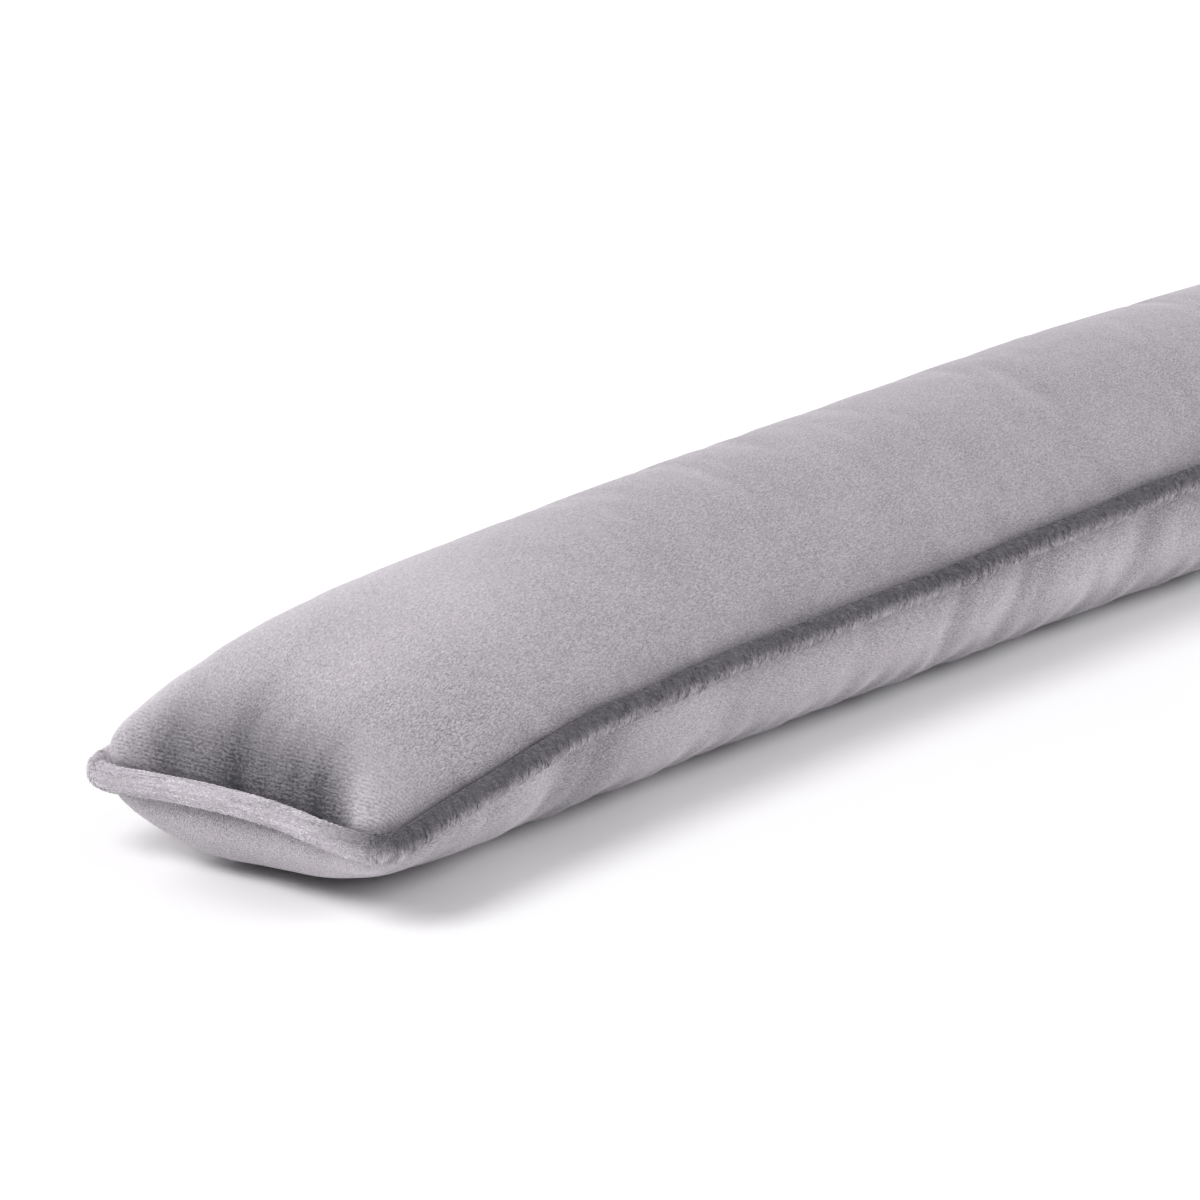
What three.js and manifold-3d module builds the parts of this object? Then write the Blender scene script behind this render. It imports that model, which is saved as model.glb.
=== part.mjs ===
// Draught excluder: a long stuffed velour cushion that lies along the foot of a door.
// Two long panels are sewn together round a thick covered piping. The stuffing makes the middle
// almost round, draws the sides in and leaves flat, slightly flared corners at both ends.
// Millimetres, +Z up. The cushion lies along X, with the origin on the floor under its centre.
import * as THREE from "three";
import { LoftGeometry } from "three/addons/geometries/LoftGeometry.js";
import { mergeVertices } from "three/addons/utils/BufferGeometryUtils.js";
import Module from "manifold-3d";

// Driving sizes. Seam sizes are taken between the piping's centre lines.
const seamLength = 880;
const endWidth = 133;
const waistWidth = 103;
const crownHeight = 44.7; // top of the crown above the side seams, for 95 overall
const pipingDiameter = 9;
const cornerRadius = 13.5;
const cornerBunching = { extra: 0.5, reach: 24 }; // the cover gathers where the piping turns
const stitchGap = 0.3; // free space between the piping and the panels

// The seam: low and wide at the corners, higher and drawn in along the sides.
const seamHeight = { corner: 28, middle: 51, reach: 128 };
const sideDrawIn = { reach: 105, power: 1.4 };
const endBow = { inward: 6, upward: 2.5, reach: 24 }; // the end seam curves in between its corners

// Two opposite corners are sewn a little further in, and the body bulges over the piping there.
const slackCorners = { inward: 5.8, lower: 0.3, reach: 60, cover: 9, coverReach: 12 };

// Unevenness of the sewn sides. It starts and is full at these distances from an end.
const seamWander = { sideways: 0.7, upward: 0.9, starts: 60, full: 160 };
const wanderWaves = [
  { length: 190, share: 0.65, shift: 1 },
  { length: 82, share: 0.35, shift: 2 },
];

// Places where the seam sags: fromEnd is the distance from the near end seam, across the place
// along the width, along and wide how far the sag spreads in each direction.
const seamSags = [
  { fromEnd: 0, across: -41, along: 16, wide: 9, depth: 1.4 },
  { fromEnd: 64, across: -58, along: 20, wide: 14, depth: 0.8 },
  { fromEnd: 268, across: -52, along: 70, wide: 18, depth: 3.4 },
  { fromEnd: 640, across: -52, along: 62, wide: 18, depth: 2.6 },
  { fromEnd: 330, across: 52, along: 64, wide: 18, depth: 2.4 },
  { fromEnd: 575, across: 52, along: 58, wide: 18, depth: 3.0 },
];

// The stuffed body between the seams. Close to the ends its section is squarer, so that a ridge
// runs from each corner, and the end walls stand back from the seam between those ridges.
const crown = { taper: 94, lengthPower: 2.16, heightPower: 0.43 };
const endOpening = 2.5; // how soon the two panels part behind the end seam
const squareEnds = { above: 0.7, below: 0.2, reach: 20 };
const endSetBack = { depth: 1.6, share: 0.78, reach: 30 };
const seamInset = 2.7; // the panels meet this far inside the piping's centre line
const overhang = 2; // the panels bulge this far past the line where they meet
const overhangPower = 8; // how close to that line the bulge already shows
const underside = { reach: 9, power: 0.63, roundness: 0.81, clearance: 0.4, pressed: 1.8 };

// Tension dimples in the end walls, running up from the end seam. across is the place along the
// seam, depth how far the wall is drawn in, reach how far along the cushion it takes to fade.
// They are shallower in the lower panel.
const lowerDimpleShare = 0.2;
const nearEndDimples = [
  { across: 44, width: 5, depth: 2.2, reach: 16 },
  { across: 30, width: 6, depth: 2.6, reach: 22 },
  { across: 2, width: 8, depth: 3.4, reach: 34 },
  { across: -25, width: 6, depth: 2.8, reach: 20 },
  { across: -43, width: 7, depth: 4.2, reach: 18 },
];
const farEndDimples = [
  { across: 43, width: 7, depth: 3.6, reach: 18 },
  { across: 17, width: 7, depth: 3.0, reach: 30 },
  { across: -12, width: 6, depth: 2.4, reach: 22 },
  { across: -40, width: 6, depth: 2.8, reach: 18 },
];

// Puckers in the lower panel, just under the side seams. fromEnd is the distance from the near
// end seam, lean how far the foot of a fold is shifted along the cushion. The band gives where
// they start, begin to fade and end, from 0 at the seam to 1 at the bottom.
const puckerBand = { start: 0.16, fade: 0.55, foot: 0.95 };
const frontPuckers = [
  { fromEnd: 58, width: 12, depth: 0.9, lean: -6 },
  { fromEnd: 118, width: 17, depth: 2.3, lean: -14 },
  { fromEnd: 197, width: 20, depth: 0.9, lean: -8 },
  { fromEnd: 316, width: 12, depth: 1.5, lean: -10 },
  { fromEnd: 351, width: 10, depth: 2.0, lean: -10 },
  { fromEnd: 422, width: 16, depth: 1.9, lean: -12 },
  { fromEnd: 505, width: 18, depth: 1.2, lean: 8 },
  { fromEnd: 590, width: 14, depth: 1.8, lean: 10 },
  { fromEnd: 655, width: 18, depth: 1.1, lean: 6 },
  { fromEnd: 748, width: 16, depth: 2.1, lean: 12 },
];
const backPuckers = [
  { fromEnd: 96, width: 15, depth: 1.9, lean: -10 },
  { fromEnd: 180, width: 18, depth: 1.1, lean: -6 },
  { fromEnd: 262, width: 14, depth: 1.6, lean: -8 },
  { fromEnd: 372, width: 18, depth: 1.3, lean: -6 },
  { fromEnd: 470, width: 14, depth: 1.7, lean: 7 },
  { fromEnd: 548, width: 18, depth: 1.0, lean: 6 },
  { fromEnd: 640, width: 15, depth: 1.8, lean: 9 },
  { fromEnd: 772, width: 15, depth: 1.6, lean: 10 },
];

// How finely the two solids are faceted.
const bodySections = 96;
const bodySides = 40;
const stationCrowding = 1.6; // stations stand closer together towards the ends
const pipingSides = 10;
const steps = { side: 60, corner: 5, end: 8 };

const halfLength = seamLength / 2;
const halfEndWidth = endWidth / 2;
const halfWaist = waistWidth / 2;
const pipingRadius = pipingDiameter / 2;

const clamp01 = (value) => Math.min(1, Math.max(0, value));
const fade = (distance, reach, power = 1) => Math.exp(-Math.pow(Math.max(0, distance) / reach, power));
const bell = (offset, width) => Math.exp(-((offset / width) ** 2));
const smoothStep = (low, high, value) => THREE.MathUtils.smoothstep(value, low, high);

const fromNearestEnd = (x) => Math.max(0, halfLength - Math.abs(x));

// Zero at the ends, so the unevenness never moves the corners.
function wanderAt(x, size, phase) {
  const away = smoothStep(seamWander.starts, seamWander.full, fromNearestEnd(x));
  const wave = wanderWaves.reduce(
    (sum, { length, share, shift }) => sum + share * Math.sin((2 * Math.PI * x) / length + shift * phase),
    0,
  );
  return size * away * wave;
}

// How near a point is to one of the slack corners, from 0 to 1.
function slackAt(x, y, reach = slackCorners.reach) {
  const across = clamp01((-Math.sign(x) * y) / halfWaist);
  return across * fade(fromNearestEnd(x), reach);
}

// Half the distance between the two side seams; side is -1 at the front and 1 at the back.
function seamHalfWidth(x, side) {
  const distance = fromNearestEnd(x);
  const drawn = fade(distance, sideDrawIn.reach, sideDrawIn.power);
  const full = halfWaist + (halfEndWidth - halfWaist) * drawn;
  const straight = full - slackCorners.inward * slackAt(x, side * halfWaist);
  const intoCorner = clamp01(distance / cornerRadius);
  const cornerCut = cornerRadius * (1 - Math.sqrt(1 - (1 - intoCorner) ** 2));
  return straight - cornerCut + wanderAt(x, seamWander.sideways, side);
}

// Depends on the place across the cushion only close to an end.
function endArch(x, y) {
  const acrossShare = 1 - clamp01(Math.abs(y) / halfEndWidth) ** 2;
  return acrossShare * fade(fromNearestEnd(x), endBow.reach);
}

function sagAt(x, y) {
  return seamSags.reduce(
    (sum, { fromEnd, across, along, wide, depth }) =>
      sum + depth * bell(x + halfLength - fromEnd, along) * bell(y - across, wide),
    0,
  );
}

function evenSeamHeight(x, y) {
  const { corner, middle, reach } = seamHeight;
  const along = middle + (corner - middle) * fade(fromNearestEnd(x), reach);
  return along + endBow.upward * endArch(x, y) - slackCorners.lower * slackAt(x, y) - sagAt(x, y);
}

function seamHeightAt(x, y) {
  return evenSeamHeight(x, y) + wanderAt(x, seamWander.upward, 2 + y / halfWaist);
}

// Moves a point inwards with the curve of the end seam.
function bowed(x, y, z) {
  return new THREE.Vector3(x - Math.sign(x) * endBow.inward * endArch(x, y), y, z);
}

// Distance from the end as the end wall feels it, less by how far the wall stands back there.
// It never quite reaches zero, so the two panels only meet at the seam itself.
function wallDistance(x, y, portion) {
  const dimples = x < 0 ? nearEndDimples : farEndDimples;
  const distance = fromNearestEnd(x);
  const middle = 1 - clamp01(Math.abs(y) / (endSetBack.share * halfEndWidth)) ** 4;
  const setBack = dimples.reduce(
    (sum, { across, width, depth, reach }) => sum + depth * bell(y - across, width) * fade(distance, reach),
    endSetBack.depth * middle * fade(distance, endSetBack.reach),
  );
  return distance === 0 ? 0 : distance ** 2 / (distance + portion * setBack);
}

// The crown's share of its full height at a distance from the end.
function crownShare(distance) {
  return (1 - (1 - clamp01(distance / crown.taper)) ** crown.lengthPower) ** crown.heightPower;
}

// How far the lower panel is drawn in by its puckers; down runs from 0 at the seam to 1 below.
function puckerDepth(x, side, down) {
  const puckers = side < 0 ? frontPuckers : backPuckers;
  const height =
    smoothStep(0, puckerBand.start, down) * (1 - smoothStep(puckerBand.fade, puckerBand.foot, down));
  return puckers.reduce(
    (sum, { fromEnd, width, depth, lean }) =>
      sum + depth * height * bell(x + halfLength - fromEnd - lean * down, width),
    0,
  );
}

// One closed ring of the stuffed body, from the back seam over the top and back underneath.
function bodySection(x) {
  const distance = fromNearestEnd(x);
  const grown = crownShare(distance);
  const opened = 1 - fade(distance, endOpening);
  const cornered = opened * fade(distance, squareEnds.reach);
  const ring = [];
  for (let step = 0; step < bodySides; step += 1) {
    const angle = (2 * Math.PI * step) / bodySides;
    const side = Math.cos(angle) < 0 ? -1 : 1;
    const above = Math.sin(angle) > 0;
    const roundness = 2 / (2 + (above ? squareEnds.above : squareEnds.below) * cornered);
    const sine = Math.abs(Math.sin(angle)) ** roundness;
    const cosine = Math.abs(Math.cos(angle)) ** roundness;
    const bulge = overhang * grown * (1 - cosine ** overhangPower);
    let halfWidth = Math.max(0, seamHalfWidth(x, side) - seamInset) + bulge;
    if (above) {
      const cover = slackCorners.cover * slackAt(x, side * halfWaist, slackCorners.coverReach);
      halfWidth += cover * sine * opened;
    } else {
      halfWidth -= puckerDepth(x, side, sine) * grown;
    }
    const y = side * cosine * halfWidth;
    ring.push(bowed(x, y, above ? topHeight(x, y, sine) : bottomHeight(x, y, sine)));
  }
  return ring;
}

function topHeight(x, y, rise) {
  const share = crownShare(wallDistance(x, y, 1));
  const seamZ = seamHeightAt(x, y);
  const top = evenSeamHeight(x, y) + crownHeight * share;
  return seamZ + (top - seamZ) * rise;
}

function bottomHeight(x, y, fall) {
  const distance = wallDistance(x, y, lowerDimpleShare);
  const seamZ = seamHeightAt(x, y);
  const { clearance, pressed, roundness } = underside;
  const raised = fade(distance, underside.reach, underside.power);
  const lift = Math.max(0, (seamZ + clearance) * raised - clearance);
  const bottom = lift - pressed * crownShare(distance);
  return Math.max(seamZ + (bottom - seamZ) * fall ** roundness, lift);
}

// The stations run from one end seam to the other, where the ring closes to a flat line.
function stuffedBody() {
  const sections = [];
  for (let station = 0; station <= bodySections; station += 1) {
    const share = (2 * station) / bodySections - 1;
    const distance = halfLength * (1 - Math.abs(share)) ** stationCrowding;
    sections.push(bodySection(Math.sign(share) * (halfLength - distance)));
  }
  return new LoftGeometry(sections);
}

// The piping's centre line: side, corner and end, four of each turn anticlockwise from above.
function pipingPath() {
  const path = [];
  const add = (x, y) => path.push(bowed(x, y, seamHeightAt(x, y)));
  for (const end of [1, -1]) {
    const side = -end;
    for (let step = 0; step < steps.side; step += 1) {
      const share = (2 * step) / steps.side - 1;
      const reach = halfLength - cornerRadius;
      const place = Math.sign(share) * (1 - (1 - Math.abs(share)) ** stationCrowding);
      const x = end * place * reach;
      add(x, side * seamHalfWidth(x, side));
    }
    for (const turn of [0, 1]) {
      const corner = turn === 0 ? side : -side;
      for (let step = 0; step < steps.corner; step += 1) {
        const angle = (Math.PI / 2) * (step / steps.corner);
        const swept = turn === 0 ? angle : Math.PI / 2 - angle;
        const x = end * (halfLength - cornerRadius * (1 - Math.sin(swept)));
        add(x, corner * seamHalfWidth(x, corner));
      }
      const endReach = seamHalfWidth(end * halfLength, 1);
      for (let step = 0; turn === 0 && step < steps.end; step += 1) {
        add(end * halfLength, side * endReach * (1 - (2 * step) / steps.end));
      }
    }
  }
  return path;
}

function pipingRadiusAt({ x, y }) {
  const fromCorner = Math.hypot(halfLength - Math.abs(x), halfEndWidth - Math.abs(y));
  return pipingRadius + cornerBunching.extra * bell(fromCorner, cornerBunching.reach);
}

function pipingTube(clearance) {
  const path = pipingPath();
  const up = new THREE.Vector3(0, 0, 1);
  const rings = path.map((centre, index) => {
    const next = path[(index + 1) % path.length];
    const before = path[(index + path.length - 1) % path.length];
    const along = next.clone().sub(before).normalize();
    const outward = along.clone().cross(up).normalize();
    const raised = outward.clone().cross(along);
    const radius = pipingRadiusAt(centre) + clearance;
    const ring = [];
    for (let side = 0; side < pipingSides; side += 1) {
      const angle = (2 * Math.PI * side) / pipingSides;
      ring.push(
        centre
          .clone()
          .addScaledVector(outward, radius * Math.cos(angle))
          .addScaledVector(raised, -radius * Math.sin(angle)),
      );
    }
    return ring;
  });
  return new LoftGeometry([...rings, rings[0]]);
}

const wasm = await Module();
wasm.setup();

function toSolid(geometry) {
  const bare = new THREE.BufferGeometry();
  bare.setAttribute("position", geometry.getAttribute("position"));
  bare.setIndex(geometry.getIndex());
  const merged = mergeVertices(bare, 1e-3);
  return new wasm.Manifold(
    new wasm.Mesh({
      numProp: 3,
      vertProperties: new Float32Array(merged.getAttribute("position").array),
      triVerts: new Uint32Array(merged.getIndex().array),
    }),
  );
}

function toGeometry(solid) {
  const { vertProperties, triVerts } = solid.getMesh();
  const geometry = new THREE.BufferGeometry();
  geometry.setAttribute("position", new THREE.BufferAttribute(vertProperties, 3));
  geometry.setIndex(new THREE.BufferAttribute(triVerts, 1));
  geometry.computeVertexNormals();
  return geometry;
}

// The panels meet behind the piping, so the body has a channel that the piping lies in.
const channel = toSolid(pipingTube(stitchGap));
const body = toSolid(stuffedBody()).subtract(channel);

const velour = new THREE.MeshStandardMaterial({ color: 0xb9b4b9, roughness: 0.92, metalness: 0 });
const pipingVelour = new THREE.MeshStandardMaterial({ color: 0xa9a4aa, roughness: 0.95, metalness: 0 });

const draughtExcluder = new THREE.Group();
const addMesh = (name, geometry, material) => {
  const mesh = new THREE.Mesh(geometry, material);
  mesh.name = name;
  draughtExcluder.add(mesh);
};
addMesh("stuffed_cushion", toGeometry(body), velour);
addMesh("seam_piping", pipingTube(0), pipingVelour);

export default draughtExcluder;
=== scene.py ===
# Draught excluder: a long stuffed velour cushion with thick covered piping round its seam
import math
import bpy
import numpy as np
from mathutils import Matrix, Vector
from mathutils.bvhtree import BVHTree


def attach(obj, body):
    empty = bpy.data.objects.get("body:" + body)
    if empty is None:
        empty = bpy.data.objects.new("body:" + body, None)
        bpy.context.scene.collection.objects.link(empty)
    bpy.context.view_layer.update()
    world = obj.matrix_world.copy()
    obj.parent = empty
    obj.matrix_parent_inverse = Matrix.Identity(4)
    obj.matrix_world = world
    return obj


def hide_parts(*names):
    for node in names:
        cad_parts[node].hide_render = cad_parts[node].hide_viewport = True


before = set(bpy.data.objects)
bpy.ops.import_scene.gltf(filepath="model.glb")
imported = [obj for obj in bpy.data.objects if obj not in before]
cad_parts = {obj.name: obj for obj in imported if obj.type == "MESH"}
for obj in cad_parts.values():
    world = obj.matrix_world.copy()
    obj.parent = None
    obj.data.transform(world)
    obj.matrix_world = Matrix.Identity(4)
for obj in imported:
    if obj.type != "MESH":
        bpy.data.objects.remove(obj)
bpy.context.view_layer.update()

mm = 0.001


# camera and room

cameraSetup = {
    "place": (-2.148, -1.585, 0.787),
    "heading": 39.96,  # degrees from the cushion's length towards its back
    "dip": 16.49,
    "lens": 235.1,
    "farthest": 50,
}


def addCamera():
    tilt = math.radians(90 - cameraSetup["dip"])
    turn = math.radians(cameraSetup["heading"] - 90)
    bpy.ops.object.camera_add(location=cameraSetup["place"], rotation=(tilt, 0, turn))
    camera = bpy.context.object
    camera.data.lens = cameraSetup["lens"]
    camera.data.clip_end = cameraSetup["farthest"]
    bpy.context.scene.camera = camera
    print("camera placed")


roomSetup = {
    "floorSize": 30.0,
    "floorColor": (0.96, 0.96, 0.96, 1),
    "floorRoughness": 0.9,
    "sky": 0.42,
    "skyColor": (1.0, 0.97, 1.0, 1),
    "lightTarget": (-0.2, 0, 0),
    "lightDistance": 2.6,
    "lightSize": 1.3,
    # turn from the cushion's length towards its back, height above the floor, both in degrees
    "lights": {
        "end": {"turn": 180, "height": 45, "power": 40},
        "front": {"turn": 330, "height": 20, "power": 50},
        "back": {"turn": 90, "height": 30, "power": 24},
    },
}


def addRoom():
    bpy.ops.mesh.primitive_plane_add(size=roomSetup["floorSize"])
    floor = bpy.context.object
    floor.name = "studio_floor"
    floor.data.materials.append(floorMaterial("studioFloor"))
    for name, light in roomSetup["lights"].items():
        turn = math.radians(light["turn"])
        height = math.radians(light["height"])
        level = math.cos(height)
        away = Vector((math.cos(turn) * level, math.sin(turn) * level, math.sin(height)))
        place = Vector(roomSetup["lightTarget"]) + away * roomSetup["lightDistance"]
        facing = away.to_track_quat("Z", "Y").to_euler()
        bpy.ops.object.light_add(type="AREA", location=place, rotation=facing)
        lamp = bpy.context.object
        lamp.name = name + "_light"
        lamp.data.shape = "DISK"
        lamp.data.size = roomSetup["lightSize"]
        lamp.data.energy = light["power"]
    world = bpy.data.worlds.new("studioSky")
    world.use_nodes = True
    world.node_tree.nodes["Background"].inputs["Strength"].default_value = roomSetup["sky"]
    world.node_tree.nodes["Background"].inputs["Color"].default_value = roomSetup["skyColor"]
    bpy.context.scene.world = world
    bpy.context.scene.view_settings.view_transform = "Standard"
    print("room made:", len(roomSetup["lights"]), "lights")


# shader helpers: a wire wraps one socket, so maths on wires adds the nodes


class Wire:
    def __init__(self, tree, socket=None):
        self.tree = tree
        self.socket = socket

    def node(self, kind, settings=None, inputs=None, output=0):
        made = self.tree.nodes.new(kind)
        for name, value in (settings or {}).items():
            setattr(made, name, value)
        for name, value in (inputs or {}).items():
            if isinstance(value, Wire):
                self.tree.links.new(value.socket, made.inputs[name])
            else:
                made.inputs[name].default_value = value
        return Wire(self.tree, made.outputs[output])

    def math(self, operation, first, second):
        return self.node("ShaderNodeMath", {"operation": operation}, {0: first, 1: second})

    def __add__(self, other):
        return self.math("ADD", self, other)

    def __sub__(self, other):
        return self.math("SUBTRACT", self, other)

    def __rsub__(self, other):
        return self.math("SUBTRACT", other, self)

    def __mul__(self, other):
        return self.math("MULTIPLY", self, other)

    def blend(self, low, high):
        inputs = {"Factor": self, 6: low, 7: high}
        return self.node("ShaderNodeMix", {"data_type": "RGBA"}, inputs, 2)

    def spread(self, low, high):
        inputs = {"Value": self, "From Min": low, "From Max": high}
        return self.node("ShaderNodeMapRange", {"clamp": True}, inputs)


def newMaterial(name):
    material = bpy.data.materials.new(name)
    material.use_nodes = True
    return material, material.node_tree.nodes["Principled BSDF"]


def floorMaterial(name):
    material, shader = newMaterial(name)
    shader.inputs["Base Color"].default_value = roomSetup["floorColor"]
    shader.inputs["Roughness"].default_value = roomSetup["floorRoughness"]
    shader.inputs["Specular IOR Level"].default_value = 0.0
    return material


velourLook = {
    "light": (0.921, 0.871, 0.926, 1),  # painted light, where the pile is brushed towards the eye
    "shade": (0.056, 0.056, 0.062, 1),  # painted shade, where the pile is brushed away
    "roughness": 0.95,
    "specular": 0.06,
    "sheen": 0.22,
    "sheenRoughness": 0.45,
    "sheenTint": (0.96, 0.94, 0.98, 1),
    "brightest": 2.0,  # painted tone that gives the lightest colour
    # painted sheen, lighter where the surface turns away from the eye
    "rimSheen": 0.5,
    "stroke": 0.48 * mm,
    "strokeStretch": (3.0, 1.0, 1.0),
    "strokeSlant": 12,  # degrees off the cushion's length
    "strokeShare": 0.7,  # the rest of the grain is round
    "bumpDepth": 0.5 * mm,
    "ribs": {"pitch": 1.3 * mm, "height": 0.06, "share": 0.5, "stretch": (1.2, 2.6, 1.2)},
    "ribWobble": {"wide": (9 * mm, 5.0), "small": (1.6 * mm, 1.6)},  # size and turns, in radians
    "clouds": {"wide": 40 * mm, "small": 7 * mm, "smallShare": 0.4, "depth": 0.22},
}


def velourMaterial(name, contrast, ribs=False):
    material, shader = newMaterial(name)
    start = Wire(material.node_tree)
    place = start.node("ShaderNodeTexCoord", output=3)

    def painted(attribute):
        return start.node("ShaderNodeAttribute", {"attribute_name": attribute}, output=2)

    def noise(size, stretch=(1, 1, 1), detail=2.0, distortion=0.0, slant=0):
        inputs = {
            "Vector": place,
            "Rotation": (0, 0, math.radians(slant)),
            "Scale": tuple(size * share for share in stretch),
        }
        scaled = start.node("ShaderNodeMapping", {"vector_type": "TEXTURE"}, inputs)
        inputs = {"Vector": scaled, "Scale": 1.0, "Detail": detail, "Distortion": distortion}
        return start.node("ShaderNodeTexNoise", {}, inputs)

    grain = noise(velourLook["stroke"], velourLook["strokeStretch"], 2.0, 0.4, velourLook["strokeSlant"])
    share = velourLook["strokeShare"]
    grain = grain * share + noise(velourLook["stroke"] * 0.8, detail=1.0) * (1 - share)
    if ribs:
        near = painted("ribs")
        row = velourLook["ribs"]
        (wide, wideTurns), (small, smallTurns) = velourLook["ribWobble"].values()
        wobble = noise(wide, detail=1.0) * wideTurns + noise(small, detail=1.0) * smallTurns
        turns = painted("rows") * (2 * math.pi / row["pitch"]) + wobble
        rows = turns.node("ShaderNodeMath", {"operation": "SINE"}, {0: turns}) * row["height"] + 0.5
        rows = rows * row["share"] + noise(velourLook["stroke"], row["stretch"], 2.0) * (1 - row["share"])
        grain = grain * (1 - near) + rows * near
    clouds = velourLook["clouds"]
    cloudy = noise(clouds["wide"], detail=1.5) * (1 - clouds["smallShare"])
    cloudy = cloudy + noise(clouds["small"], detail=1.0) * clouds["smallShare"]
    # painted sheen: the colour lightens at grazing angles
    grazing = start.node("ShaderNodeLayerWeight", {}, {"Blend": 0.5}, 1)
    rimSheen = grazing * grazing * grazing * grazing * velourLook["rimSheen"]
    grainy = (grain - 0.5) * painted("roughPile") * contrast
    # painted light and shade from the attribute, with the grain, random clouds and the painted sheen
    lightShadeTone = painted("napLightShade") + grainy + (cloudy - 0.5) * clouds["depth"] + rimSheen
    color = lightShadeTone.spread(0.0, velourLook["brightest"]).blend(velourLook["shade"], velourLook["light"])
    bump = start.node("ShaderNodeBump", {}, {"Height": grain, "Distance": velourLook["bumpDepth"]})
    material.node_tree.links.new(color.socket, shader.inputs["Base Color"])
    material.node_tree.links.new(bump.socket, shader.inputs["Normal"])
    shader.inputs["Roughness"].default_value = velourLook["roughness"]
    shader.inputs["Specular IOR Level"].default_value = velourLook["specular"]
    shader.inputs["Sheen Weight"].default_value = velourLook["sheen"]
    shader.inputs["Sheen Roughness"].default_value = velourLook["sheenRoughness"]
    shader.inputs["Sheen Tint"].default_value = velourLook["sheenTint"]
    return material


# mesh helpers


def selectOnly(piece):
    bpy.ops.object.select_all(action="DESELECT")
    piece.select_set(True)
    bpy.context.view_layer.objects.active = piece


def copyNode(node, name):
    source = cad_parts[node]
    piece = bpy.data.objects.new(name, source.data.copy())
    bpy.context.scene.collection.objects.link(piece)
    piece.data.materials.clear()
    selectOnly(piece)
    bpy.ops.object.mode_set(mode="EDIT")
    bpy.ops.mesh.select_all(action="SELECT")
    bpy.ops.mesh.remove_doubles(threshold=0.01 * mm)
    bpy.ops.object.mode_set(mode="OBJECT")
    return piece


def applyModifier(piece, kind, **settings):
    selectOnly(piece)
    modifier = piece.modifiers.new(kind.lower(), kind)
    for name, value in settings.items():
        setattr(modifier, name, value)
    bpy.ops.object.modifier_apply(modifier=modifier.name)


def pointsOf(piece):
    points = np.empty(len(piece.data.vertices) * 3)
    piece.data.vertices.foreach_get("co", points)
    return points.reshape(-1, 3)


def normalsOf(piece):
    normals = np.empty(len(piece.data.vertices) * 3)
    piece.data.vertex_normals.foreach_get("vector", normals)
    return normals.reshape(-1, 3)


def setPoints(piece, points):
    piece.data.vertices.foreach_set("co", np.ascontiguousarray(points).ravel())
    piece.data.update()


def paint(piece, name, values):
    layer = piece.data.attributes.new(name, "FLOAT", "POINT")
    layer.data.foreach_set("value", values.astype(np.float32))


def bell(offset, width):
    return np.exp(-((offset / width) ** 2))


# distance across the cushion, turned half round for the far end
def acrossEnd(points):
    return points[:, 1] * np.sign(-points[:, 0])


def ramp(value, low, high):
    share = np.clip((value - low) / (high - low), 0, 1)
    return share * share * (3 - 2 * share)


# the seam, as the piping's centre line runs

seam = {
    "halfLength": 440 * mm,
    "waistHalf": 51.5 * mm,
    "endHalf": 66.5 * mm,
    "drawReach": 105 * mm,
    "drawPower": 1.4,
    "cornerRadius": 13.5 * mm,
    "cornerHeight": 28 * mm,
    "middleHeight": 51 * mm,
    "heightReach": 128 * mm,
}


def fromEnd(points):
    return np.maximum(0, seam["halfLength"] - np.abs(points[:, 0]))


def seamHeight(points):
    sag = np.exp(-fromEnd(points) / seam["heightReach"])
    return seam["middleHeight"] + (seam["cornerHeight"] - seam["middleHeight"]) * sag


# how much of the seam faces an end, from 0 along the sides to 1 across the ends, and its outward way
def seamFacing(points):
    drawn = np.exp(-((fromEnd(points) / seam["drawReach"]) ** seam["drawPower"]))
    halfWidth = seam["waistHalf"] + (seam["endHalf"] - seam["waistHalf"]) * drawn
    halfLength = np.full(len(points), seam["halfLength"])
    limits = np.stack([halfLength, halfWidth], 1) - seam["cornerRadius"]
    outward = points[:, :2] - np.clip(points[:, :2], -limits, limits)
    outward /= np.maximum(np.linalg.norm(outward, axis=1, keepdims=True), 1e-9)
    return outward[:, 0] ** 2, outward


# piping

pipingSetup = {
    "grow": -0.3 * mm,  # the pile stands on the tube and brings it back to its size
    # painted light of the piping on the ends
    "endNapLight": 1.30,
    # painted light and shade of the sides from the underside of the piping to its top, shaded along its
    # upper part
    "heights": (-0.9, -0.4, -0.07, 0.2, 0.42, 0.65),
    "sideNapLightShade": (0.95, 0.96, 0.84, 0.54, 0.33, 0.23),
    "upper": (-0.6, 0.5),  # upward part of the normal, from the piping's lower side to its upper one
    "grain": 0.5,
    # how far round a corner from the middle of the end the painted light of the ends reaches
    "darkCorner": {"upper": (28 * mm, 80 * mm), "lower": (45 * mm, 95 * mm)},
    "lightCorner": (85 * mm, 150 * mm),
}


# painted light and shade of the piping, light on the ends and shaded along the upper sides; it changes at
# the corners: early at the near front one and its opposite, late at the others
def pipingNapLightShade(points, normals):
    across = acrossEnd(points)
    turned = fromEnd(points) + np.abs(across)
    above = ramp(normals[:, 2], *pipingSetup["upper"])
    early = pipingSetup["darkCorner"]
    dark = ramp(turned, *early["lower"])
    dark = dark + (ramp(turned, *early["upper"]) - dark) * above
    dark = np.where(across > 0, ramp(turned, *pipingSetup["lightCorner"]), dark)
    side = np.interp(normals[:, 2], pipingSetup["heights"], pipingSetup["sideNapLightShade"])
    return pipingSetup["endNapLight"] + (side - pipingSetup["endNapLight"]) * dark


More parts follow.
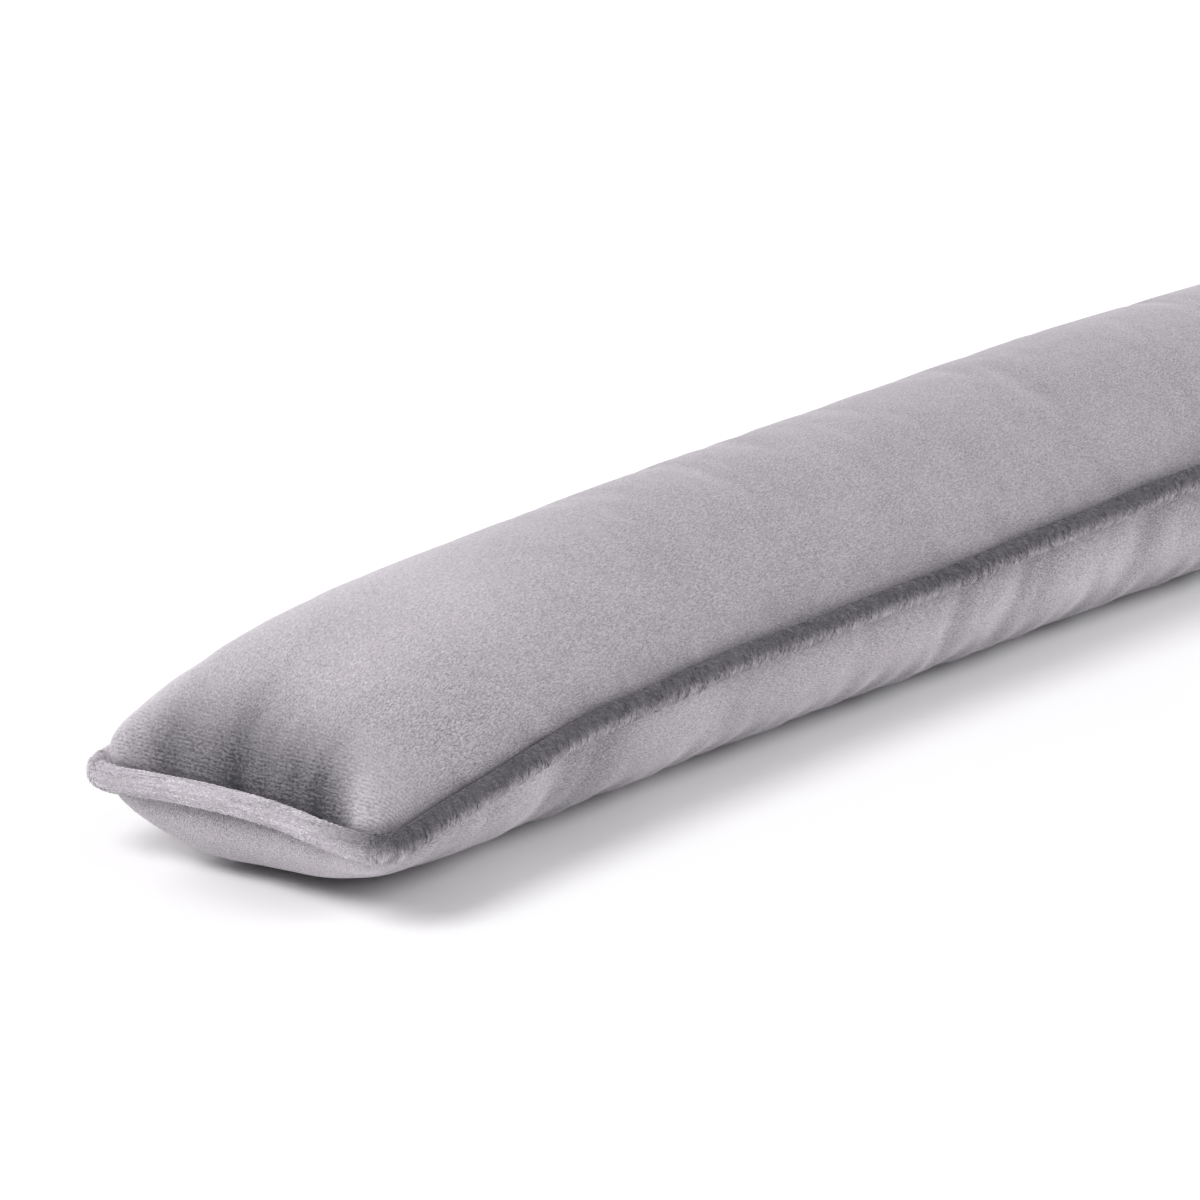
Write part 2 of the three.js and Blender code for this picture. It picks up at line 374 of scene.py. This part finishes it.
def makePiping():
    piece = copyNode("seam_piping", "piping")
    bpy.ops.object.mode_set(mode="EDIT")
    bpy.ops.mesh.select_all(action="SELECT")
    bpy.ops.mesh.tris_convert_to_quads(face_threshold=math.radians(60), shape_threshold=math.radians(60))
    bpy.ops.object.mode_set(mode="OBJECT")
    applyModifier(piece, "SUBSURF", levels=2)
    setPoints(piece, pointsOf(piece) + normalsOf(piece) * pipingSetup["grow"])
    bpy.ops.object.shade_smooth()
    # the piping under the locks gets painted shade
    paint(piece, "napLightShade", pipingNapLightShade(pointsOf(piece), normalsOf(piece)) * pileSetup["rootShadeShare"])
    paint(piece, "roughPile", np.ones(len(piece.data.vertices)))
    piece.data.materials.append(velourMaterial("velourPiping", pipingSetup["grain"]))
    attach(piece, "root")
    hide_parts("seam_piping")
    print("piping made:", len(piece.data.polygons), "faces")
    return piece


# pile on the piping: small pointed locks that lie round it along the sides and lengthwise on the ends

pileSetup = {
    "pitch": 0.52 * mm,
    "length": 1.6 * mm,
    "cornerLength": 0.6 * mm,  # the locks stand longer and looser where the piping turns
    "width": 0.42 * mm,
    "thickness": 0.26 * mm,
    "lift": 11,  # degrees off the surface
    "cornerLift": 15,
    "liftSpread": 6,
    "astray": 0.16,  # how far a lock turns off its way, and how much more in a corner
    "cornerAstray": 1.2,
    "lengths": (0.65, 1.25),  # shares of the length and the width between which the locks vary
    "widths": (0.7, 1.2),
    "ridge": 0.3,  # place of a lock's highest point along it
    "sunk": 0.16 * mm,
    "rootShadeShare": 0.75,  # painted shade: the ground under the locks is darker
    "toneSpread": 0.10,
    # painted light on the lock tips
    "tipLight": 0.12,
    # neighbouring locks share their tone: across the piping at the sides, along it on the ends
    "strandSpread": {"side": 0.28, "end": 0.18},
    "sideStrand": {"along": 0.75 * mm, "around": 45},
    "endStrand": {"along": 11 * mm, "around": 8},
    "cornerCalm": 0.6,  # the corners where the painted light runs on have fainter strands
    # tones are drawn once, and a strand finds its own by two steps through them
    "toneTable": {"size": 4096, "narrowStep": 97, "longStep": 389, "shift": 0.618},
    "sewnIn": -0.45,  # outward part of the normal below which the piping is hidden by the panels
    "tipShares": (0, 0, 0.5, 1),  # of a lock's two feet, its ridge and its tip
    "seed": 7,
}


pileQuarters = [
    ("pile_near_front", -1, -1),
    ("pile_far_front", 1, -1),
    ("pile_far_back", 1, 1),
    ("pile_near_back", -1, 1),
]


# the part of the piping that isn't sewn in between the panels, in one quarter of the seam
def outside(points, normals, xWay, yWay):
    _, outward = seamFacing(points)
    free = (normals[:, :2] * outward).sum(axis=1) > pileSetup["sewnIn"]
    return free & (points[:, 0] * xWay >= 0) & (points[:, 1] * yWay >= 0)


# points spread evenly over the piping, with the normals there
def pilePlaces(piping, quarter, random):
    mesh = piping.data
    area = np.empty(len(mesh.polygons))
    mesh.polygons.foreach_get("area", area)
    corners = np.empty(len(mesh.loops), int)
    mesh.loops.foreach_get("vertex_index", corners)
    corners = corners.reshape(-1, 4)
    points = pointsOf(piping)[corners]
    normals = normalsOf(piping)[corners]
    chosen = outside(points.mean(axis=1), normals.mean(axis=1), *quarter)
    points, normals, area = points[chosen], normals[chosen], area[chosen]
    count = int(area.sum() / pileSetup["pitch"] ** 2)
    places = (np.arange(count) + random.random(count)) / count
    face = np.searchsorted(np.cumsum(area) / area.sum(), places)
    face = np.clip(face, 0, len(area) - 1)
    u, v = random.random((2, count, 1))
    shares = np.stack([(1 - u) * (1 - v), u * (1 - v), u * v, (1 - u) * v], 1)
    normal = (normals[face] * shares).sum(axis=1)
    return (points[face] * shares).sum(axis=1), unit(normal)


def unit(vectors):
    return vectors / np.maximum(np.linalg.norm(vectors, axis=1, keepdims=True), 1e-9)


# a tone for each strand of locks; the strands are bins along and around the piping
def strandTones(root, normal, facing, outward, random):
    along = np.where(facing > 0.5, root[:, 1], root[:, 0])
    around = np.degrees(np.arctan2(normal[:, 2], (normal[:, :2] * outward).sum(axis=1))) + 180
    setup = pileSetup["toneTable"]
    table = random.normal(0, 1, setup["size"])

    def tones(strand, first, second):
        narrow = np.floor(first / strand[0])
        shifted = second / strand[1] + (narrow * setup["shift"]) % 1
        steps = narrow * setup["narrowStep"] + np.floor(shifted) * setup["longStep"]
        return table[steps.astype(int) % setup["size"]]

    side = pileSetup["sideStrand"]
    end = pileSetup["endStrand"]
    sideTones = tones((side["along"], side["around"]), along, around) * pileSetup["strandSpread"]["side"]
    endTones = tones((end["around"], end["along"]), around, along) * pileSetup["strandSpread"]["end"]
    return sideTones + (endTones - sideTones) * ramp(facing, 0.5, 1.0)


def makePile(name, piping, quarter):
    random = np.random.default_rng(pileSetup["seed"])
    root, normal = pilePlaces(piping, quarter, random)
    count = len(root)
    facing, outward = seamFacing(root)
    corner = 4 * facing * (1 - facing)
    calm = pileSetup["cornerCalm"] * corner * (root[:, 0] * root[:, 1] < 0)
    strands = strandTones(root, normal, facing, outward, random) * (1 - calm)
    along = np.stack([-outward[:, 1], outward[:, 0], np.zeros(count)], 1)
    along = unit(along - normal * (along * normal).sum(axis=1, keepdims=True))
    around = np.cross(along, normal)
    lengthwise = ramp(facing, 0.5, 1.0)[:, None]
    way = around * (1 - lengthwise) + along * lengthwise
    astray = random.normal(0, pileSetup["astray"], (count, 3))
    way = way + astray * (1 + pileSetup["cornerAstray"] * corner[:, None])
    way = unit(way - normal * (way * normal).sum(axis=1, keepdims=True))
    across = np.cross(normal, way)
    lift = pileSetup["lift"] + pileSetup["cornerLift"] * corner
    lift = np.radians(lift + random.normal(0, pileSetup["liftSpread"], count))[:, None]
    length = pileSetup["length"] + pileSetup["cornerLength"] * corner
    length = (length * random.uniform(*pileSetup["lengths"], count))[:, None]
    width = pileSetup["width"] * random.uniform(*pileSetup["widths"], count)[:, None]
    root = root - normal * pileSetup["sunk"]
    tip = root + (way * np.cos(lift) + normal * np.sin(lift)) * length
    peak = length * pileSetup["ridge"]
    ridge = root + way * peak + normal * (pileSetup["thickness"] + np.sin(lift) * peak)
    points = np.stack([root - across * width / 2, root + across * width / 2, ridge, tip], 1)
    faces = np.array([[0, 2, 1], [1, 2, 3], [3, 2, 0], [1, 3, 0]])
    faces = (faces[None] + 4 * np.arange(count)[:, None, None]).reshape(-1, 3)
    mesh = bpy.data.meshes.new(name)
    mesh.from_pydata(points.reshape(-1, 3), [], faces)
    piece = bpy.data.objects.new(name, mesh)
    bpy.context.scene.collection.objects.link(piece)
    # the locks carry the piping's painted light and shade, with painted light at their tips
    tips = np.array(pileSetup["tipShares"]) * pileSetup["tipLight"]
    lightShadeTone = pipingNapLightShade(root, normal)[:, None] * (1 + tips)
    lightShadeTone *= 1 + strands[:, None] + random.normal(0, pileSetup["toneSpread"], count)[:, None]
    paint(piece, "napLightShade", lightShadeTone.ravel())
    paint(piece, "roughPile", np.ones(4 * count))
    piece.data.materials.append(bpy.data.materials["velourPiping"])
    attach(piece, "root")
    print(name, "made:", count, "locks,", len(faces), "triangles")


# cushion

cushionSetup = {
    "voxel": 4.0 * mm,
    "smoothing": 6,
    "pipingGap": 0.12 * mm,
    "pressure": 4.0,
    "slack": 0.02,  # the panels are cut this much longer than the seam draws them in
    "frames": 20,
    "sewn": {"held": 4 * mm, "free": 16 * mm},
    "quality": 5,
    "mostMove": 4 * mm,
    "spread": 60,  # rounds of smoothing that tell the small creases from the wide bulge
    "creaseShare": 0.22,
    "pipingReach": 6 * mm,
    "aboveSeam": {
        "dimples": (-4 * mm, 2 * mm),
        "crown": (2 * mm, 12 * mm),
        "ribs": (-2 * mm, 4 * mm),
    },
    "dimpleBelow": 0.35,  # share of the dimples' depth that goes on under the seam
    # shares of the way from the seam down to the floor where the side creases begin and end
    "creaseBand": ((0.05, 0.2), (0.45, 0.85)),
    "footUnder": (0.1, 0.4),
    "footReach": ((4 * mm, 14 * mm), (40 * mm, 70 * mm)),
    "waveSides": (20 * mm, 34 * mm),
    "waveEnds": (20 * mm, 50 * mm),
    "waveLip": ((3, 6), (8, 16)),  # millimetres above the seam
    "waveFoot": (26, 38),  # millimetres below it
    "grain": 1.5,
}

# dimples that run up from the end seams, in millimetres, at the near end, each darkened with painted
# shade; the far end has them turned half round
endDimples = [
    {"across": 44, "width": 5, "depth": 0.7, "reach": 12, "lightShadeTone": 0.16},
    {"across": 31, "width": 7, "depth": 1.1, "reach": 15, "lightShadeTone": 0.28},
    {"across": 3, "width": 7, "depth": 1.5, "reach": 25, "lightShadeTone": 0.36},
    {"across": -9, "width": 4, "depth": 0.8, "reach": 24, "lightShadeTone": 0.16},
    {"across": -23, "width": 5, "depth": 1.3, "reach": 13, "lightShadeTone": 0.28},
    {"across": -33, "width": 4, "depth": 1.4, "reach": 16, "lightShadeTone": 0.36},
    {"across": -42, "width": 4, "depth": 1.0, "reach": 12, "lightShadeTone": 0.16},
]

# creases under the side seams, in millimetres, each darkened with painted shade; fromEnd is measured from
# the near end, lean is the foot's shift
sideCreases = [
    {"fromEnd": 68, "width": 7, "depth": 0.5, "lean": -8, "lightShadeTone": 0.06},
    {"fromEnd": 110, "width": 9, "depth": 0.9, "lean": -16, "lightShadeTone": 0.10},
    {"fromEnd": 128, "width": 6, "depth": 0.6, "lean": -18, "lightShadeTone": 0.06},
    {"fromEnd": 195, "width": 10, "depth": 0.5, "lean": -10, "lightShadeTone": 0.06},
    {"fromEnd": 268, "width": 8, "depth": 0.5, "lean": -10, "lightShadeTone": 0.04},
    {"fromEnd": 320, "width": 6, "depth": 0.8, "lean": -12, "lightShadeTone": 0.10},
    {"fromEnd": 336, "width": 5, "depth": 0.4, "lean": -12, "lightShadeTone": 0.05},
    {"fromEnd": 357, "width": 6, "depth": 1.0, "lean": -12, "lightShadeTone": 0.12},
    {"fromEnd": 370, "width": 5, "depth": 0.5, "lean": -14, "lightShadeTone": 0.07},
    {"fromEnd": 404, "width": 6, "depth": 0.5, "lean": -12, "lightShadeTone": 0.05},
    {"fromEnd": 428, "width": 8, "depth": 1.0, "lean": -14, "lightShadeTone": 0.11},
    {"fromEnd": 453, "width": 6, "depth": 0.5, "lean": -10, "lightShadeTone": 0.05},
    {"fromEnd": 508, "width": 8, "depth": 0.7, "lean": 10, "lightShadeTone": 0.07},
    {"fromEnd": 590, "width": 7, "depth": 0.9, "lean": 12, "lightShadeTone": 0.10},
    {"fromEnd": 612, "width": 5, "depth": 0.5, "lean": 12, "lightShadeTone": 0.05},
    {"fromEnd": 668, "width": 8, "depth": 0.6, "lean": 10, "lightShadeTone": 0.06},
    {"fromEnd": 748, "width": 7, "depth": 1.0, "lean": 14, "lightShadeTone": 0.11},
    {"fromEnd": 804, "width": 7, "depth": 0.6, "lean": 10, "lightShadeTone": 0.06},
]

# rise of the crown at a place from an end, over the part of its width where it grows, in millimetres
crownParts = [
    {"place": 22, "length": 34, "across": (5, 35), "rise": 1.2},
    {"place": 245, "length": 130, "across": (-40, 5), "rise": -0.9},
]

# shift of the underside across the near end, in millimetres
endFeet = [
    {"across": 24, "width": 30, "shift": -2.0},
    {"across": -42, "width": 24, "shift": 1.3},
]

# waves of the top panel's lip beside the piping and of the sides' foot, in millimetres
edgeWaves = [
    {"length": 61, "start": 0.4, "lip": 0.35, "foot": 0.3},
    {"length": 37, "start": 2.1, "lip": 0.3, "foot": 0.35},
    {"length": 17, "start": 4.0, "lip": 0.15, "foot": 0.3},
]

# stretches of the side's lower panel darkened with painted shade of its folds, in millimetres from the
# near end
sideShades = [
    {"start": (10, 20), "end": (48, 62), "shade": 0.20},
    {"start": (88, 104), "end": (122, 150), "shade": 0.19},
]

napLightShadeSetup = {
    "top": 0.64,
    "middle": -0.05,  # how the top's painted light and shade change towards the middle of the cushion
    "middleReach": (300 * mm, 440 * mm),
    # painted light on the crown near the ends
    "crownEnd": {"extra": 0.32, "place": 40 * mm, "width": 100 * mm, "front": -62 * mm, "back": -20 * mm},
    # painted shade on the end wall just above the piping
    "endDark": {
        "depth": 0.84,
        "reach": 19 * mm,
        "center": 5 * mm,
        "across": 56 * mm,
        "lean": 0.12,
        "power": 1.9,
        "leastReach": 0.02,
        "behind": {"share": 0.4, "across": (25 * mm, 50 * mm)},
    },
    # painted light on the corner ridges near the ends
    "cornerRidge": {"extra": 0.2, "across": 52 * mm, "width": 12 * mm, "reach": 26 * mm},
    # painted light and shade of the lower panel from the seam down to the floor
    "down": (0, 0.15, 0.5, 0.68, 0.8, 1.0),
    "lower": (0.84, 0.80, 0.78, 0.77, 0.62, 0.50),
    "lowerFar": (0.62, 0.60, 0.86, 0.76, 0.53, 0.40),
    "farReach": (170 * mm, 350 * mm),
    "lowerRough": 1.25,
    "topRough": ((0, 100 * mm, 440 * mm), (1.1, 1.15, 0.85)),
    "endRough": {"extra": 0.8, "reach": 60 * mm},
    "lowerSide": (30 * mm, 40 * mm),
    # painted light under the ends, with painted shade just under the piping near their middle
    "lowerEnd": {
        "extra": 0.24,
        "reach": 16 * mm,
        "edge": (46 * mm, 58 * mm),
        "behind": {"share": 0.4, "across": (0, 30 * mm)},
        "shaded": 0.4,
        "shadedDown": (0.15, 0.5),
        "center": 6 * mm,
        "width": 30 * mm,
    },
    "ribReach": 34 * mm,
    "ribFade": 3,
}


def makeCushion(piping):
    piece = copyNode("stuffed_cushion", "cushion")
    piece.data.remesh_voxel_size = cushionSetup["voxel"]
    bpy.ops.object.voxel_remesh()
    setPoints(piece, evened(piece, pointsOf(piece), cushionSetup["smoothing"]))
    settleCloth(piece, piping)
    applyModifier(piece, "SUBSURF", levels=1)
    points = pointsOf(piece)
    normals = normalsOf(piece)
    ends, dimpleShade = endCreasing(points)
    sides, creaseShade = sideCreasing(points)
    points[:, 0] += ends * np.sign(-points[:, 0])
    points += normals * (fullness(points) - sides - wander(points))[:, None]
    setPoints(piece, points)
    clearPiping(piece, piping)
    points = pointsOf(piece)
    points[:, 2] += footing(points)
    points[:, 2] = np.maximum(points[:, 2], 0)
    setPoints(piece, points)
    selectOnly(piece)
    bpy.ops.object.shade_smooth()
    # painted light and shade, less the painted shade of the dimples and creases
    napLightShade = cushionNapLightShade(points) - dimpleShade - creaseShade
    paint(piece, "napLightShade", napLightShade)
    paint(piece, "roughPile", pileRoughness(points, napLightShade))
    rise = np.hypot(fromEnd(points), points[:, 2] - seam["cornerHeight"])
    paint(piece, "rows", rise)
    fade = np.exp(-((rise / napLightShadeSetup["ribReach"]) ** napLightShadeSetup["ribFade"]))
    paint(piece, "ribs", fade * aboveSeam(points, "ribs"))
    piece.data.materials.append(velourMaterial("velourPanels", cushionSetup["grain"], ribs=True))
    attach(piece, "root")
    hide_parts("stuffed_cushion")
    print("cushion made:", len(piece.data.polygons), "faces")


# the panels are blown up a little between their seams, and only the small creases of it are kept
def settleCloth(piece, piping):
    before = pointsOf(piece)
    tube = surfaceOf(piping)
    limits = cushionSetup["sewn"]
    away = np.array([nearestOn(tube, point, limits["free"]) for point in before])
    held = 1 - ramp(away, limits["held"], limits["free"])
    group = piece.vertex_groups.new(name="sewn")
    for index, weight in enumerate(held):
        group.add([index], float(weight), "REPLACE")
    cloth = piece.modifiers.new("cloth", "CLOTH")
    cloth.settings.quality = cushionSetup["quality"]
    cloth.settings.vertex_group_mass = "sewn"
    cloth.settings.use_pressure = True
    cloth.settings.uniform_pressure_force = cushionSetup["pressure"]
    cloth.settings.shrink_min = -cushionSetup["slack"]
    cloth.settings.effector_weights.gravity = 0
    cloth.point_cache.frame_start = 1
    cloth.point_cache.frame_end = cushionSetup["frames"]
    for number in range(1, cushionSetup["frames"] + 1):
        bpy.context.scene.frame_set(number)
    selectOnly(piece)
    bpy.ops.object.modifier_apply(modifier=cloth.name)
    bpy.context.scene.frame_set(1)
    moved = pointsOf(piece) - before
    reach = np.linalg.norm(moved, axis=1, keepdims=True)
    moved *= np.minimum(1, cushionSetup["mostMove"] / np.maximum(reach, 1e-9))
    creases = moved - averaged(piece, moved, cushionSetup["spread"])
    setPoints(piece, before + creases * cushionSetup["creaseShare"])
    print("cloth settled: moved", round(float(reach.mean()) / mm, 2), "mm, creases",
          round(float(np.abs(creases).max()) / mm, 2), "mm at most")


def averaged(piece, values, rounds):
    edges = np.empty(len(piece.data.edges) * 2, int)
    piece.data.edges.foreach_get("vertices", edges)
    first, second = edges.reshape(-1, 2).T
    count = np.bincount(edges, minlength=len(values))[:, None]
    for _ in range(rounds):
        total = np.zeros_like(values)
        np.add.at(total, first, values[second])
        np.add.at(total, second, values[first])
        values = (values + total / count) / 2
    return values


# smoothed without drawing the corners in
def evened(piece, points, rounds):
    once = averaged(piece, points, rounds)
    return 2 * once - averaged(piece, once, rounds)


def surfaceOf(piece):
    points = [vertex.co for vertex in piece.data.vertices]
    return BVHTree.FromPolygons(points, [face.vertices for face in piece.data.polygons])


def nearestOn(surface, point, limit):
    distance = surface.find_nearest(Vector(point), limit)[3]
    return limit if distance is None else distance


def aboveSeam(points, use):
    return ramp(points[:, 2] - seamHeight(points), *cushionSetup["aboveSeam"][use])


def within(value, start, end):
    return ramp(value, *start) * (1 - ramp(value, *end))


def endCreasing(points):
    distance = fromEnd(points)
    across = acrossEnd(points)
    above = aboveSeam(points, "dimples")
    below = cushionSetup["dimpleBelow"]
    depth = np.zeros(len(points))
    lightShadeTone = np.zeros(len(points))
    for dimple in endDimples:
        shape = bell(across - dimple["across"] * mm, dimple["width"] * mm)
        shape *= np.exp(-distance / (dimple["reach"] * mm)) * (below + (1 - below) * above)
        depth += dimple["depth"] * mm * shape
        lightShadeTone += dimple["lightShadeTone"] * shape * above
    return depth, lightShadeTone


def sideCreasing(points):
    depth = np.zeros(len(points))
    lightShadeTone = np.zeros(len(points))
    down = np.clip(1 - points[:, 2] / seamHeight(points), 0, 1)
    band = within(down, *cushionSetup["creaseBand"])
    place = seam["halfLength"] - points[:, 0] * np.where(points[:, 1] < 0, -1, 1)
    for crease in sideCreases:
        foot = crease["lean"] * mm * down
        shape = bell(place - crease["fromEnd"] * mm - foot, crease["width"] * mm) * band
        depth += crease["depth"] * mm * shape
        lightShadeTone += crease["lightShadeTone"] * shape
    return depth, lightShadeTone


# how the underside of an end comes down on the floor: lower behind, a little higher in front
def footing(points):
    across = acrossEnd(points)
    under = ramp(1 - points[:, 2] / seamHeight(points), *cushionSetup["footUnder"])
    near = within(fromEnd(points), *cushionSetup["footReach"])
    shift = np.zeros(len(points))
    for foot in endFeet:
        shift += foot["shift"] * mm * bell(across - foot["across"] * mm, foot["width"] * mm)
    return shift * under * near


# the crown stands fuller behind at the ends and a little lower along the middle
def fullness(points):
    distance = fromEnd(points)
    across = acrossEnd(points)
    total = np.zeros(len(points))
    for part in crownParts:
        reach = bell(distance - part["place"] * mm, part["length"] * mm)
        total += part["rise"] * mm * reach * ramp(across / mm, *part["across"])
    return total * aboveSeam(points, "crown")


# the seam allowance and the foot of the sides aren't quite straight
def wander(points):
    along = points[:, 0]
    offset = (points[:, 2] - seamHeight(points)) / mm
    outer = ramp(np.abs(points[:, 1]), *cushionSetup["waveSides"])
    outer = outer * ramp(fromEnd(points), *cushionSetup["waveEnds"])
    lip = within(offset, *cushionSetup["waveLip"])
    foot = ramp(-offset, *cushionSetup["waveFoot"])
    total = np.zeros(len(points))
    for wave in edgeWaves:
        turns = np.sin(2 * math.pi * along / (wave["length"] * mm) + wave["start"])
        total += turns * (wave["lip"] * lip + wave["foot"] * foot) * mm
    return total * outer


# the grain stands out more near the ends and on the lower panel than on the middle of the top
def pileRoughness(points, napLightShade):
    distance = fromEnd(points)
    lower = points[:, 2] < seamHeight(points)
    rough = np.where(lower, napLightShadeSetup["lowerRough"], np.interp(distance, *napLightShadeSetup["topRough"]))
    near = bell(distance, napLightShadeSetup["endRough"]["reach"]) * np.clip(napLightShade / napLightShadeSetup["top"], 0, 1)
    return rough + napLightShadeSetup["endRough"]["extra"] * near


def cushionNapLightShade(points):
    return np.where(points[:, 2] < seamHeight(points), lowerNapLightShade(points), topNapLightShade(points))


# painted light and shade of the top panel
def topNapLightShade(points):
    distance = fromEnd(points)
    across = acrossEnd(points)
    crownEnd = napLightShadeSetup["crownEnd"]
    light = bell(distance - crownEnd["place"], crownEnd["width"])
    light = crownEnd["extra"] * light * ramp(across, crownEnd["front"], crownEnd["back"])
    ridge = napLightShadeSetup["cornerRidge"]
    lifted = bell(np.abs(across) - ridge["across"], ridge["width"]) * bell(distance, ridge["reach"])
    light += ridge["extra"] * lifted
    dark = napLightShadeSetup["endDark"]
    aside = (across - dark["center"]) / dark["across"]
    reach = dark["reach"] * np.sqrt(np.clip(1 - aside ** 2, dark["leastReach"], 1))
    behind = dark["behind"]
    depth = dark["depth"] * (1 - dark["lean"] * aside)
    depth = depth * (1 - behind["share"] * ramp(across, *behind["across"]))
    shade = depth * np.exp(-((distance / reach) ** dark["power"]))
    middle = napLightShadeSetup["middle"] * ramp(distance, *napLightShadeSetup["middleReach"])
    return napLightShadeSetup["top"] + middle + light - shade


# painted light and shade of the lower panel
def lowerNapLightShade(points):
    distance = fromEnd(points)
    across = acrossEnd(points)
    down = 1 - points[:, 2] / seamHeight(points)
    end = napLightShadeSetup["lowerEnd"]
    shaded = end["shaded"] * bell(across - end["center"], end["width"])
    shaded = shaded * (1 - ramp(down, *end["shadedDown"]))
    napLightShade = np.interp(down, napLightShadeSetup["down"], napLightShadeSetup["lower"])
    far = ramp(distance, *napLightShadeSetup["farReach"])
    napLightShade += (np.interp(down, napLightShadeSetup["down"], napLightShadeSetup["lowerFar"]) - napLightShade) * far
    side = ramp(-across, *napLightShadeSetup["lowerSide"])
    for stretch in sideShades:
        napLightShade -= stretch["shade"] * within(distance / mm, stretch["start"], stretch["end"]) * side
    behind = end["behind"]
    extra = end["extra"] * (1 - ramp(np.abs(across), *end["edge"]))
    extra = extra * (1 - behind["share"] * ramp(across, *behind["across"]))
    return napLightShade + (extra - shaded) * bell(distance, end["reach"])


# the panels close against the piping without entering it
def clearPiping(piece, piping):
    tube = surfaceOf(piping)
    gap = cushionSetup["pipingGap"]
    points = pointsOf(piece)
    for index, point in enumerate(points):
        spot, normal, _, _ = tube.find_nearest(Vector(point), cushionSetup["pipingReach"])
        if spot is None:
            continue
        if (Vector(point) - spot).dot(normal) < gap:
            points[index] = spot + normal * gap
    setPoints(piece, points)


addCamera()
addRoom()
piping = makePiping()
for name, *quarter in pileQuarters:
    makePile(name, piping, quarter)
makeCushion(piping)
